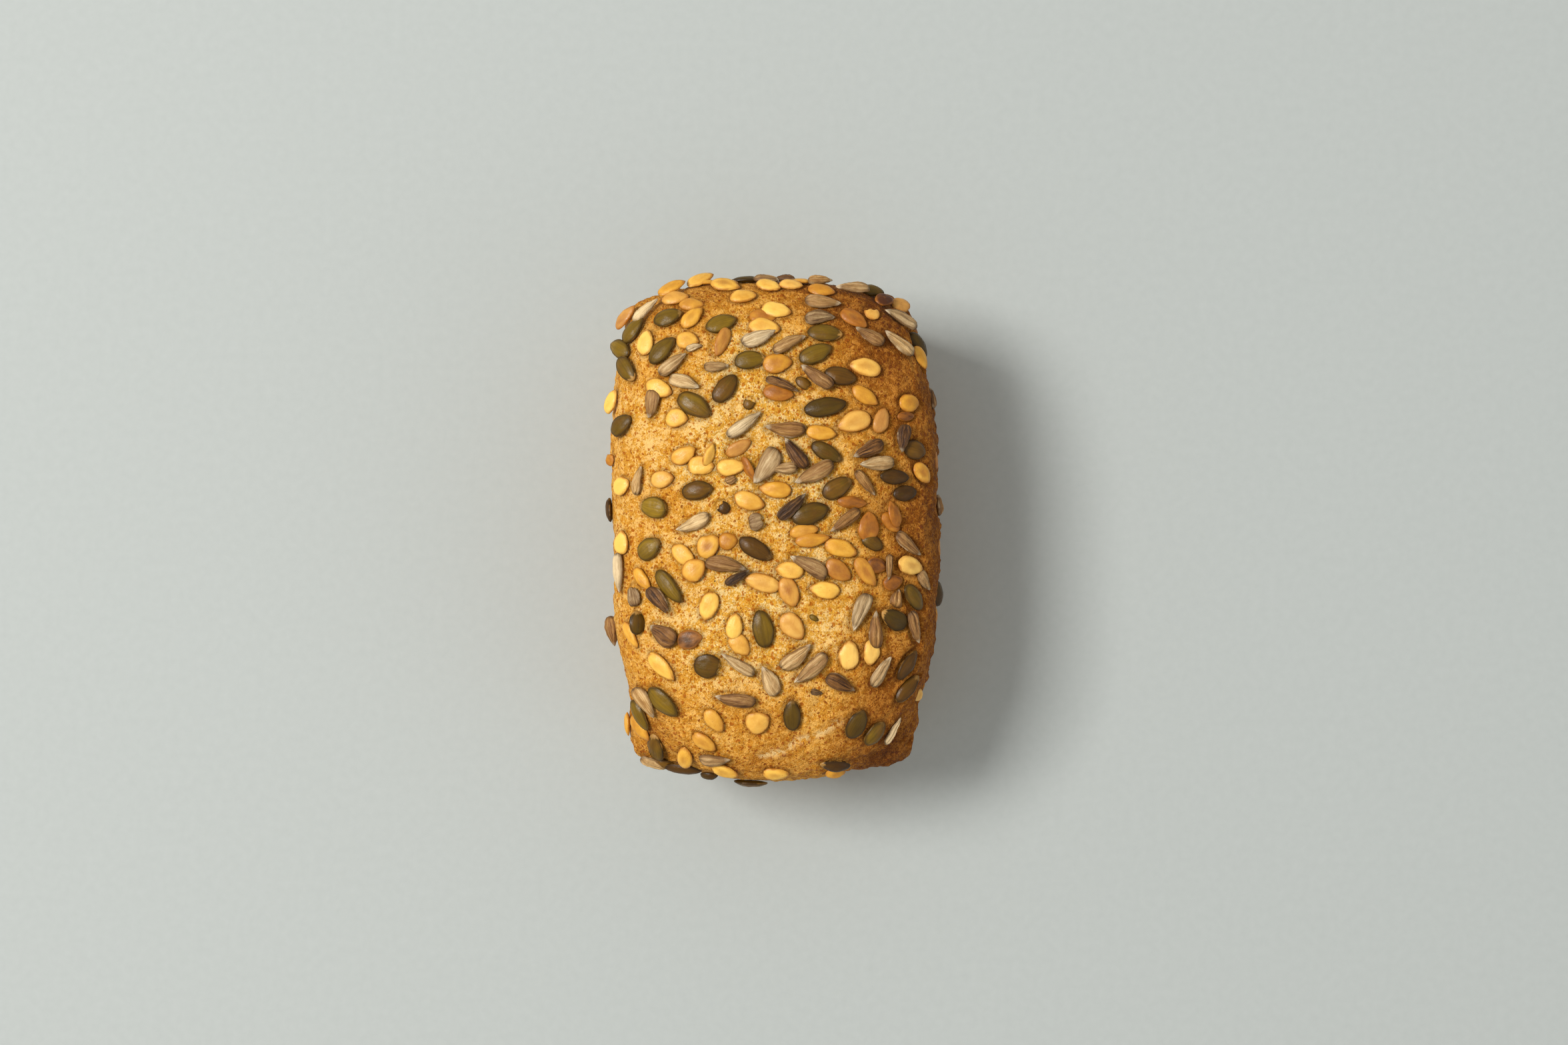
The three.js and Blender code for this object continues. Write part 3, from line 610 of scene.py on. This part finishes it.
# How far the crust stands out from the skin, in millimetres: on the crown, on its sides, and on the walls.
CROWN_SWELL = 0.8
LEFT_SWELL = 0.3
RIGHT_SWELL = 1.9
WALL_SWELL = 0.3
# Roughness of the crust, from large lumps to crumbs: size in mm, and height on the crown.
LUMPS = [(26, 0.6), (8, 0.45), (3.4, 0.4), (1.9, 0.42)]
# How much of that roughness the walls have, and how far above and below the rim it is stronger.
WALL_ROUGHNESS = 0.45
RIM_DEPTH = 9
# Pits: their spacing and depth in millimetres, and their radius as a share of the spacing.
PIT_SPACING = 4.2
PIT_DEPTH = 1.5
PIT_RADIUS = 0.3
# The torn crack near the lower end: places that it passes, its half width and its depth.
CRACK = [(-4, -73), (3, -71), (8, -67.5), (14, -66), (21, -61.5)]
CRACK_WIDTH = 1.1
CRACK_DEPTH = 0.35
# The crust this far from a kernel's middle is never under it, and nor is crust this far above or below it.
KERNEL_REACH = 11
KERNEL_LEVEL = 4
# The crust rises at most this much to meet a kernel.
MOST_RISE = 0.9


def blend_step(value, low, high):
    share = np.clip((value - low) / (high - low), 0, 1)
    return share * share * (3 - 2 * share)


def hug_kernels(points, outward, swell, kernels):
    """The crust evened out under each kernel, so that one kind sits equally deep, and a ring of painted shade
    round each.
    """
    strongest = np.zeros(len(points))
    target = np.zeros(len(points))
    painted_contact_shade = np.zeros(len(points))
    for one in kernels:
        offset = points - np.array(one.middle)
        near = np.flatnonzero(np.abs(offset).max(axis=1) < KERNEL_REACH)
        local = offset[near] @ np.array(Matrix((one.tip, one.side, one.up))).T
        out = np.hypot(local[:, 0] / (one.length / 2), local[:, 1] / (one.width / 2))
        weight = 1 - blend_step(out, 1.0, 1.5)
        weight[np.abs(local[:, 2]) > KERNEL_LEVEL] = 0
        stronger = weight > strongest[near]
        chosen = near[stronger]
        strongest[chosen] = weight[stronger]
        kind = KINDS[one.kind]
        target[chosen] = np.minimum(kind.perch - kind.sink, swell[chosen] + MOST_RISE)
        # A ring of painted shade just outside the kernel's outline.
        ring = np.exp(-(((out - 1.02) / 0.17) ** 2)) * (np.abs(local[:, 2]) < KERNEL_LEVEL)
        painted_contact_shade[near] = np.maximum(painted_contact_shade[near], ring)
    return outward * (1 - strongest) + target * strongest, painted_contact_shade


def line_distance(points, line):
    """Distance of each point from a line on the crown, seen from above."""
    nearest = np.full(len(points), 1e3)
    for start, end in zip(np.array(line[:-1], float), np.array(line[1:], float)):
        run = end - start
        share = np.clip((points[:, :2] - start) @ run / (run @ run), 0, 1)
        nearest = np.minimum(nearest, np.linalg.norm(points[:, :2] - start - share[:, None] * run, axis=1))
    return nearest


def crust_relief(points, crown):
    """How far lumps and pits move the crust, in millimetres, and how deep in a pit each point is."""
    relief = np.zeros(len(points))
    rim = np.exp(-(((points[:, 2] - RIM) / RIM_DEPTH) ** 2))
    rim *= 0.7 + 1.1 * blend_step(points[:, 0], 0.8 * HALF_WIDTH, 0.97 * HALF_WIDTH)
    for number, (size, height) in enumerate(LUMPS):
        shift = Vector((31 * number, 17, 5))
        layer = np.array([noise.noise(Vector(point) / size + shift) for point in points])
        relief += layer * height * (WALL_ROUGHNESS + (1 - WALL_ROUGHNESS) * crown) * (1 + rim)
    near_end = blend_step(np.abs(points[:, 1]), 0.86 * HALF_LENGTH, 0.98 * HALF_LENGTH)
    pits = np.zeros(len(points))
    for index, point in enumerate(points):
        distance = noise.voronoi(Vector(point) / PIT_SPACING)[0][0]
        if distance < PIT_RADIUS:
            strength = noise.noise(Vector(point) / (2 * PIT_SPACING) + Vector((9, 9, 9)))
            pits[index] = max(0, strength + 0.1 + 0.25 * near_end[index]) * (1 - distance / PIT_RADIUS)
    return relief - PIT_DEPTH * pits, pits


def browning_and_painted_shade(points, crown):
    """How dark the crust is, partly from its baking and partly from painted shade: 0 pale, 1 deep brown."""
    x, y = points[:, 0] / HALF_WIDTH, points[:, 1] / HALF_LENGTH
    clouds = np.array([noise.noise(Vector(point) / 17 + Vector((3, 8, 1))) for point in points])
    # The crown is darker towards its sides, the right one most, and its ends, but less so at its corners. This
    # is partly browning and partly painted shade.
    shade = 0.1 + 0.15 * clouds
    shade += 0.54 * blend_step(x, 0.2, 0.85) + 0.2 * blend_step(x, 0.8, 1.0) + 0.2 * blend_step(-x, 0.3, 0.9)
    shade += 0.32 * blend_step(-y, 0.35, 0.95) + 0.12 * blend_step(-y, 0.2, 0.7) * blend_step(x, 0.1, 0.6)
    shade += 0.36 * blend_step(y, 0.7, 0.96)
    shade += 0.32 * blend_step(y, 0.3, 0.7) * blend_step(x, -0.1, 0.4) * (1 - blend_step(x, 0.5, 0.9))
    shade -= 0.22 * blend_step(np.abs(x * y), 0.5, 0.85)
    shade = np.minimum(shade, 0.84 + 0.3 * clouds)
    # The walls are paler lower down, and browner again at the base.
    wall = 0.44 + 0.3 * clouds - 0.25 * blend_step(-points[:, 2], -RIM, -0.3 * RIM)
    wall += 0.25 * blend_step(-points[:, 2], -5, 0)
    upper = 0.5 * crown + 0.5 * blend_step(points[:, 2], RIM - 26, RIM + 6)
    return np.clip(shade * upper + wall * (1 - upper), 0, 1)


def make_crust(kernels):
    """The skin pushed out into a rough crust, with what its material needs to know at each point."""
    points, normals = SKIN_POINTS, SKIN_NORMALS
    crown = blend_step(points[:, 2], RIM - 3, RIM + 6)
    relief, pits = crust_relief(points, crown)
    crack = line_distance(points, CRACK)
    split = np.exp(-((crack / CRACK_WIDTH) ** 2)) * crown
    left = blend_step(-points[:, 0], 0.5 * HALF_WIDTH, 0.9 * HALF_WIDTH)
    right = blend_step(points[:, 0], 0.6 * HALF_WIDTH, 0.95 * HALF_WIDTH)
    sides = (LEFT_SWELL - CROWN_SWELL) * left + (RIGHT_SWELL - CROWN_SWELL) * right
    swell = WALL_SWELL + (CROWN_SWELL - WALL_SWELL + sides) * crown
    far_end = blend_step(points[:, 1], 0.65 * HALF_LENGTH, 0.9 * HALF_LENGTH)
    across = points[:, 0] / HALF_WIDTH
    corners = blend_step(across, 0.4, 0.85) - 1.3 * blend_step(-across, 0.3, 0.75)
    swell += corners * far_end * crown
    outward, painted_contact_shade = hug_kernels(points, swell + relief - CRACK_DEPTH * split, swell, kernels)
    # The base stays where it rests, flat on the floor.
    outward *= blend_step(points[:, 2], 0.2, 3)
    moved = points + normals * outward[:, None]
    moved[:, 2] = np.maximum(moved[:, 2], 0)
    moved[points[:, 2] < 0.4, 2] = 0
    mesh = SKIN.copy()
    mesh.name = "crust"
    mesh.vertices.foreach_set("co", (moved * MM).astype(np.float32).ravel())
    mesh.update()
    mesh.shade_smooth()
    # The bake value is partly browning and partly painted shade.
    set_attribute(mesh, "bake_and_shade", browning_and_painted_shade(points, crown))
    set_attribute(mesh, "crown", crown)
    set_attribute(mesh, "split", split)
    set_attribute(mesh, "pit", pits)
    set_attribute(mesh, "painted_contact_shade", painted_contact_shade)
    piece = bpy.data.objects.new("crust", mesh)
    bpy.context.scene.collection.objects.link(piece)
    return piece


# ---------------------------------------------------------------- materials

# Colours of the crust from pale to deeply baked or in painted shade, then of each kind of kernel from dark to
# pale.
PALE_CRUMB = [
    (0.0, (0.98, 0.71, 0.30)), (0.35, (0.865, 0.44, 0.086)),
    (0.7, (0.53, 0.203, 0.026)), (1.0, (0.20, 0.064, 0.008)),
]
GOLDEN_CRUST = [
    (0.0, (0.81, 0.41, 0.045)), (0.35, (0.66, 0.272, 0.023)),
    (0.7, (0.31, 0.095, 0.005)), (1.0, (0.11, 0.027, 0.0015)),
]
ORANGE_FLECKS = [
    (0.0, (0.58, 0.175, 0.005)), (0.4, (0.41, 0.103, 0.003)),
    (0.8, (0.17, 0.037, 0.001)), (1.0, (0.075, 0.015, 0.001)),
]
GREEN_SEED = [
    (0.0, (0.045, 0.024, 0.002)), (0.35, (0.1, 0.052, 0.003)),
    (0.7, (0.198, 0.111, 0.006)), (1.0, (0.33, 0.19, 0.011)),
]
BROWN_SEED = [
    (0.0, (0.05, 0.019, 0.002)), (0.35, (0.125, 0.052, 0.004)),
    (0.7, (0.23, 0.108, 0.009)), (1.0, (0.36, 0.19, 0.02)),
]
GOLDEN_KERNEL = [
    (0.0, (0.07, 0.018, 0.003)), (0.3, (0.36, 0.118, 0.009)),
    (0.65, (0.645, 0.3, 0.025)), (1.0, (0.86, 0.505, 0.085)),
]
PINKISH_KERNEL = [
    (0.0, (0.08, 0.03, 0.01)), (0.3, (0.38, 0.15, 0.035)),
    (0.65, (0.63, 0.308, 0.063)), (1.0, (0.84, 0.505, 0.13)),
]
GREY_KERNEL = [
    (0.0, (0.035, 0.016, 0.006)), (0.3, (0.20, 0.103, 0.038)),
    (0.6, (0.37, 0.237, 0.107)), (1.0, (0.72, 0.54, 0.31)),
]
BROWN_KERNEL = [
    (0.0, (0.035, 0.011, 0.002)), (0.3, (0.21, 0.085, 0.018)),
    (0.6, (0.39, 0.198, 0.055)), (1.0, (0.78, 0.53, 0.24)),
]


class Shader:
    """A material under construction: each method adds one node and returns its output."""

    def __init__(self, name):
        self.material = bpy.data.materials.new(name)
        self.material.use_nodes = True
        self.nodes = self.material.node_tree.nodes
        self.links = self.material.node_tree.links
        self.surface = self.nodes["Principled BSDF"]

    def feed(self, socket, value):
        if isinstance(value, bpy.types.NodeSocket):
            self.links.new(value, socket)
        else:
            socket.default_value = value

    def add(self, kind, inputs, output=0, **settings):
        node = self.nodes.new(kind)
        for key, value in settings.items():
            setattr(node, key, value)
        for key, value in inputs.items():
            self.feed(node.inputs[key], value)
        return node.outputs[output]

    def attribute(self, name, output="Fac"):
        return self.add("ShaderNodeAttribute", {}, output, attribute_name=name)

    def math(self, operation, a, b=0.0):
        return self.add("ShaderNodeMath", {0: a, 1: b}, operation=operation)

    def plus(self, a, b):
        return self.math("ADD", a, b)

    def less(self, a, b):
        return self.math("SUBTRACT", a, b)

    def times(self, a, b):
        return self.math("MULTIPLY", a, b)

    def vector(self, operation, a, b):
        return self.add("ShaderNodeVectorMath", {0: a, 1: b}, operation=operation)

    def scaled(self, vector, factor):
        return self.add("ShaderNodeVectorMath", {0: vector, "Scale": factor}, operation="SCALE")

    def millimetres(self):
        """Where a point of the surface is, in the frame's axes."""
        return self.scaled(self.add("ShaderNodeTexCoord", {}, "Object"), 1 / MM)

    def noise(self, where, size, detail=3.0, rough=0.55, output="Fac", form="FBM", bend=0.0):
        inputs = {
            "Vector": where,
            "Scale": 1 / size,
            "Detail": detail,
            "Roughness": rough,
            "Distortion": bend,
        }
        return self.add("ShaderNodeTexNoise", inputs, output, noise_type=form)

    def cells(self, where, size, output="Distance"):
        return self.add("ShaderNodeTexVoronoi", {"Vector": where, "Scale": 1 / size}, output)

    def span(self, value, low, high, out_low=0.0, out_high=1.0):
        """Maps low..high to out_low..out_high, clamped, with soft ends."""
        inputs = {"Value": value, "From Min": low, "From Max": high, "To Min": out_low, "To Max": out_high}
        return self.add("ShaderNodeMapRange", inputs, interpolation_type="SMOOTHSTEP")

    def mix(self, share, a, b):
        """A share of colour b over colour a. The mix node's colours are its inputs 6 and 7, and output 2."""
        return self.add("ShaderNodeMix", {0: share, 6: a, 7: b}, 2, data_type="RGBA")

    def ramp(self, value, stops):
        """A colour picked from stops of place and colour."""
        node = self.nodes.new("ShaderNodeValToRGB")
        elements = node.color_ramp.elements
        while len(elements) < len(stops):
            elements.new(1.0)
        for element, (place, colour) in zip(elements, stops):
            element.position = place
            element.color = (*colour, 1)
        self.feed(node.inputs[0], value)
        return node.outputs[0]

    def bump(self, height, depth, below=None):
        inputs = {"Height": height, "Strength": 1.0, "Distance": depth * MM}
        if below:
            inputs["Normal"] = below
        return self.add("ShaderNodeBump", inputs)

    def finish(self, colour, roughness, normal, **constants):
        self.feed(self.surface.inputs["Base Color"], colour)
        self.feed(self.surface.inputs["Roughness"], roughness)
        self.feed(self.surface.inputs["Normal"], normal)
        for key, value in constants.items():
            self.surface.inputs[key.replace("_", " ")].default_value = value
        return self.material


def rgb(*colour):
    return (*colour, 1.0)


def crust_material():
    s = Shader("baked_crust")
    place = s.millimetres()
    wander = s.vector("SUBTRACT", s.noise(place, 1.2, 3, output="Color"), (0.5, 0.5, 0.5))
    loose = s.vector("ADD", place, s.scaled(wander, 1.5))
    patch = s.noise(place, 9, 3, 0.5)
    bake_and_shade = s.plus(s.attribute("bake_and_shade"), s.times(s.noise(place, 6, 3), 0.3))
    bake_and_shade = s.less(bake_and_shade, 0.15)
    # Blotches of pale crumb skin and golden glaze, both browner with the bake and the painted shade, and orange
    # where it is thin.
    pale = s.ramp(bake_and_shade, PALE_CRUMB)
    golden = s.ramp(bake_and_shade, GOLDEN_CRUST)
    orange = s.ramp(bake_and_shade, ORANGE_FLECKS)
    blotch = s.noise(loose, 2.0, 5, 0.68)
    foam = s.cells(loose, 0.55)
    grit = s.noise(place, 0.5, 3, 0.6)
    skin = s.plus(blotch, s.times(patch, 0.28))
    skin = s.plus(skin, s.times(foam, 0.22))
    skin = s.plus(skin, s.times(grit, 0.35))
    # The walls, baked against a tin, are more even than the crown.
    fair = s.times(s.span(skin, 0.88, 1.02), s.span(s.attribute("crown"), 0, 1, 0.4, 1))
    colour = s.mix(fair, golden, pale)
    colour = s.mix(s.span(skin, 0.69, 0.82, 0.85, 0), colour, orange)
    # Bran flecks in clusters, large and few to small and many, and a few nearly red.
    brown = s.mix(0.45, orange, rgb(0.12, 0.022, 0.001))
    cluster = s.times(s.less(patch, 0.5), -0.8)
    flecks = 0.0
    # Each sort's spacing in millimetres, how few there are, how far each reaches, and its tint.
    sorts = [
        (3.2, 0.39, 0.25, orange),
        (1.9, 0.37, 0.3, orange),
        (2.4, 0.56, 0.23, brown),
        (1.1, 0.41, 0.37, orange),
    ]
    for size, few, reach, tint in sorts:
        chance = s.add("ShaderNodeSeparateColor", {0: s.cells(loose, size, "Color")}, "Red")
        near = s.span(s.cells(loose, size), 0.6 * reach, reach, 1, 0)
        fleck = s.times(near, s.span(s.plus(chance, cluster), few, few + 0.08))
        colour = s.mix(s.times(fleck, 0.92), colour, tint)
        flecks = s.math("MAXIMUM", flecks, fleck)
    # Flour fibres: thin pale threads.
    thread = s.noise(loose, 1.7, 4, 0.6, form="RIDGED_MULTIFRACTAL")
    threads = s.times(s.span(thread, 1.0, 1.5), s.span(patch, 0.4, 0.6, 0.25, 1))
    colour = s.mix(s.times(threads, 0.55), colour, s.mix(0.12, pale, rgb(0.98, 0.84, 0.55)))
    # Pores, as small dents painted dark as shade, and the bottoms of pits, which turn darker orange.
    pore_dent_and_shade = s.span(s.cells(place, 3.4), 0.05, 0.1, 1, 0)
    pore_dent_and_shade = s.times(pore_dent_and_shade, s.span(s.noise(place, 5, 2), 0.52, 0.6))
    colour = s.mix(s.times(pore_dent_and_shade, 0.7), colour, rgb(0.09, 0.025, 0.003))
    colour = s.mix(s.span(s.attribute("pit"), 0.05, 0.6, 0, 0.4), colour, orange)
    # Painted shade darkens the crust right beside each kernel.
    colour = s.mix(s.times(s.attribute("painted_contact_shade"), 0.55), colour, rgb(0.12, 0.033, 0.003))
    # The crack shows pale crumb.
    torn = s.span(s.noise(loose, 2.2, 4, 0.6), 0.44, 0.54)
    share = s.times(s.times(s.attribute("split"), torn), 0.75)
    colour = s.mix(share, colour, rgb(0.95, 0.66, 0.29))
    height = s.plus(s.times(s.noise(loose, 1.1, 5, 0.66), 1.1), s.times(foam, 0.25))
    height = s.plus(height, s.times(threads, 0.25))
    height = s.plus(height, s.times(flecks, 0.12))
    height = s.less(height, s.times(pore_dent_and_shade, 0.6))
    normal = s.bump(height, 1.0)
    return s.finish(colour, s.span(flecks, 0, 1, 0.8, 0.5), normal, Specular_IOR_Level=0.15)


def grain_axes(s):
    """Along, across and out of a kernel, and texture places that run with its grain."""
    grain = s.attribute("grain", "Vector")
    split = s.nodes.new("ShaderNodeSeparateXYZ")
    s.feed(split.inputs[0], grain)
    along, across, out = split.outputs
    chance = s.times(s.attribute("chance"), 40)
    strands = s.add("ShaderNodeCombineXYZ", {0: s.times(along, 0.5), 1: s.times(across, 4), 2: chance})
    patches = s.add("ShaderNodeCombineXYZ", {0: along, 1: across, 2: chance})
    return along, across, out, strands, patches


def varied(s, patches, size, spread):
    """A kernel's tone with patches a little darker and paler."""
    shift = s.times(s.less(s.noise(patches, size, 3), 0.5), spread)
    return s.plus(s.attribute("tone"), shift)


def pumpkin_material():
    s = Shader("pumpkin_skin")
    along, across, out, strands, patches = grain_axes(s)
    tone = varied(s, patches, 1.1, 0.5)
    green = s.ramp(tone, GREEN_SEED)
    brown = s.ramp(tone, BROWN_SEED)
    hue = s.plus(s.attribute("hue"), s.less(s.noise(patches, 0.9, 2), 0.5))
    colour = s.mix(s.span(hue, 0.25, 0.75), brown, green)
    lines = s.noise(strands, 0.7, 4, 0.6)
    colour = s.mix(s.span(lines, 0.35, 0.7, 0.0, 0.35), colour, rgb(0.035, 0.018, 0.004))
    # The edge is painted dark as shade, with a worn tan line here and there, and the tip shows the pale hull.
    colour = s.mix(s.span(out, 0.7, 0.98, 0, 0.72), colour, rgb(0.024, 0.011, 0.003))
    rim = s.times(s.span(out, 0.93, 0.98), s.span(s.noise(patches, 0.5, 3), 0.45, 0.62))
    worn = s.span(s.attribute("mark"), 0, 1, 0.35, 0.95)
    colour = s.mix(s.times(rim, worn), colour, rgb(0.32, 0.155, 0.03))
    end = s.plus(along, s.times(s.noise(patches, 0.4, 3), 0.5))
    end = s.times(s.span(end, 0.95, 1.1), s.attribute("mark"))
    colour = s.mix(s.times(end, 0.9), colour, rgb(0.46, 0.24, 0.06))
    fine = s.noise(s.millimetres(), 0.7, 3)
    height = s.plus(s.times(lines, 0.6), s.times(fine, 0.6))
    normal = s.bump(height, 0.1)
    return s.finish(colour, s.span(fine, 0.35, 0.65, 0.28, 0.42), normal, Specular_IOR_Level=0.2)


def melon_material():
    s = Shader("melon_kernel_skin")
    along, across, out, strands, patches = grain_axes(s)
    tone = varied(s, patches, 0.8, 0.6)
    gold = s.ramp(tone, GOLDEN_KERNEL)
    pinkish = s.ramp(tone, PINKISH_KERNEL)
    colour = s.mix(s.span(s.attribute("hue"), 0.25, 0.6), pinkish, gold)
    # Toasted in the middle and at the tip. The brown along the rim is partly toasting and partly painted shade.
    middle = s.plus(out, s.times(s.noise(patches, 0.7, 4, 0.6), 0.7))
    middle = s.times(s.span(middle, 0.4, 1.05, 1, 0), s.attribute("mark"))
    toast = s.mix(s.span(s.attribute("tone"), 0.25, 0.4), rgb(0.06, 0.035, 0.022), rgb(0.32, 0.105, 0.014))
    colour = s.mix(s.times(middle, 0.85), colour, toast)
    # The rim's brown: partly toast, partly painted shade.
    rim = s.times(s.span(out, 0.74, 0.99), s.span(s.noise(patches, 0.7, 3), 0.38, 0.62, 0.3, 0.95))
    colour = s.mix(rim, colour, rgb(0.36, 0.118, 0.009))
    tip = s.times(s.span(along, 0.66, 0.98), s.span(s.noise(patches, 0.5, 2), 0.35, 0.6, 0.2, 0.8))
    colour = s.mix(tip, colour, rgb(0.38, 0.14, 0.02))
    specks = s.span(s.cells(s.millimetres(), 1.6), 0.05, 0.11, 0.5, 0)
    colour = s.mix(specks, colour, rgb(0.28, 0.10, 0.02))
    lines = s.noise(strands, 1.0, 3, 0.55)
    fine = s.noise(s.millimetres(), 0.5, 3)
    height = s.plus(s.times(lines, 0.6), s.times(fine, 0.4))
    normal = s.bump(height, 0.12)
    return s.finish(colour, s.span(fine, 0.35, 0.65, 0.34, 0.5), normal, Specular_IOR_Level=0.3)


def sunflower_material():
    s = Shader("sunflower_kernel_skin")
    along, across, out, strands, patches = grain_axes(s)
    streaks = s.noise(strands, 0.95, 5, 0.66, bend=0.7)
    groove = s.plus(s.times(across, 3 * math.pi), s.times(s.noise(patches, 0.9, 2), 5))
    groove = s.math("COSINE", groove)
    tone = s.plus(varied(s, patches, 0.7, 0.55), s.times(s.less(streaks, 0.5), 1.3))
    # The grooves are painted a little darker, as painted shade.
    tone = s.plus(tone, s.times(groove, 0.03))
    grey = s.ramp(tone, GREY_KERNEL)
    brown = s.ramp(tone, BROWN_KERNEL)
    colour = s.mix(s.span(s.attribute("hue"), 0.15, 0.65), grey, brown)
    # The edge is painted dark as shade.
    colour = s.mix(s.span(out, 0.72, 1.0, 0, 0.6), colour, rgb(0.10, 0.045, 0.014))
    # Pale hull left along the edges and at the tip, and a dark heel.
    edge = s.span(s.math("ABSOLUTE", across), 0.8, 0.98)
    edge = s.times(edge, s.span(s.noise(patches, 0.6, 3), 0.45, 0.62))
    colour = s.mix(s.times(edge, 0.5), colour, rgb(0.74, 0.55, 0.32))
    tip = s.plus(along, s.times(s.noise(patches, 0.5, 3), 0.4))
    tip = s.times(s.span(tip, 0.85, 1.12), s.plus(s.attribute("mark"), 0.25))
    colour = s.mix(tip, colour, rgb(0.82, 0.66, 0.44))
    heel = s.times(s.span(along, -0.72, -0.98), s.span(s.noise(patches, 0.5, 2), 0.4, 0.6, 0.1, 0.7))
    colour = s.mix(heel, colour, rgb(0.05, 0.022, 0.008))
    fine = s.noise(s.millimetres(), 0.4, 3)
    height = s.plus(streaks, s.times(fine, 0.35))
    height = s.plus(height, s.times(groove, 0.25))
    normal = s.bump(height, 0.34)
    return s.finish(colour, s.span(streaks, 0.3, 0.7, 0.62, 0.4), normal, Specular_IOR_Level=0.3)


# ---------------------------------------------------------------- camera, light and floor

# The camera looks straight down. Its lens and sensor are in millimetres; it sees this many metres far.
CAMERA_PLACE = (3.3, 3.0, 1000)
CAMERA_LENS = 65
SENSOR_WIDTH = 36
SEEN_FAR = 10

# Place and size in metres, power in watts, and colour. The key stands to the left and throws the shadows.
Light = namedtuple("Light", "place size power colour")
LIGHTS = {
    "key": Light((-1.6, 0.5, 2.5), 0.95, 89, (1.0, 0.985, 0.95)),
    "fill": Light((2.4, -1.2, 1.6), 1.8, 6, (1.0, 0.98, 0.95)),
}
SKY_COLOUR = (0.98, 0.98, 0.95, 1)
SKY_STRENGTH = 0.57

# The floor reaches this many metres to each side, in two tones of cool grey.
FLOOR_REACH = 4
FLOOR_DARK = (0.375, 0.40, 0.39)
FLOOR_PALE = (0.415, 0.44, 0.43)


def make_camera():
    camera = bpy.data.cameras.new("camera")
    camera.lens = CAMERA_LENS
    camera.sensor_width = SENSOR_WIDTH
    camera.clip_end = SEEN_FAR
    holder = bpy.data.objects.new("camera", camera)
    holder.location = Vector(CAMERA_PLACE) * MM
    bpy.context.scene.collection.objects.link(holder)
    bpy.context.scene.camera = holder


def make_lights():
    top = Vector((0, 0, HEIGHT * MM))
    for name, settings in LIGHTS.items():
        light = bpy.data.lights.new(name, "AREA")
        light.energy = settings.power
        light.size = settings.size
        light.color = settings.colour
        holder = bpy.data.objects.new(name, light)
        holder.location = settings.place
        holder.rotation_euler = (top - Vector(settings.place)).to_track_quat("-Z", "Y").to_euler()
        bpy.context.scene.collection.objects.link(holder)
    world = bpy.data.worlds.new("studio")
    world.use_nodes = True
    sky = world.node_tree.nodes["Background"]
    sky.inputs["Color"].default_value = SKY_COLOUR
    sky.inputs["Strength"].default_value = SKY_STRENGTH
    bpy.context.scene.world = world
    bpy.context.scene.view_settings.view_transform = "Standard"


def make_floor():
    mesh = bpy.data.meshes.new("floor")
    corners = [(x * FLOOR_REACH, y * FLOOR_REACH, 0) for x, y in ((-1, -1), (1, -1), (1, 1), (-1, 1))]
    mesh.from_pydata(corners, [], [(0, 1, 2, 3)])
    floor = bpy.data.objects.new("floor", mesh)
    bpy.context.scene.collection.objects.link(floor)
    s = Shader("studio_floor")
    speckle = s.noise(s.millimetres(), 3, 3)
    colour = s.mix(speckle, rgb(*FLOOR_DARK), rgb(*FLOOR_PALE))
    mesh.materials.append(s.finish(colour, 0.8, s.bump(speckle, 0.05)))
    floor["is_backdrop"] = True


# ---------------------------------------------------------------- the object

def build():
    kernels = place_kernels()
    crust = make_crust([one for group in kernels.values() for one in group])
    crust.data.materials.clear()
    crust.data.materials.append(crust_material())
    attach(crust, "root")
    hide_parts("loaf")
    materials = {
        "pumpkin_seed": pumpkin_material,
        "melon_kernel": melon_material,
        "sunflower_kernel": sunflower_material,
    }
    for kind, make_material in materials.items():
        piece = kernel_piece(f"{kind}s", kind, kernels[kind])
        piece.data.materials.append(make_material())
        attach(piece, "root")
        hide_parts(*[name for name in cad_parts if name.startswith(kind)])


build()
make_camera()
make_lights()
make_floor()

boxes = {"cad": CAD_BOX, "visual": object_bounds()}
{name: [list(corner) for corner in box] for name, box in boxes.items()}
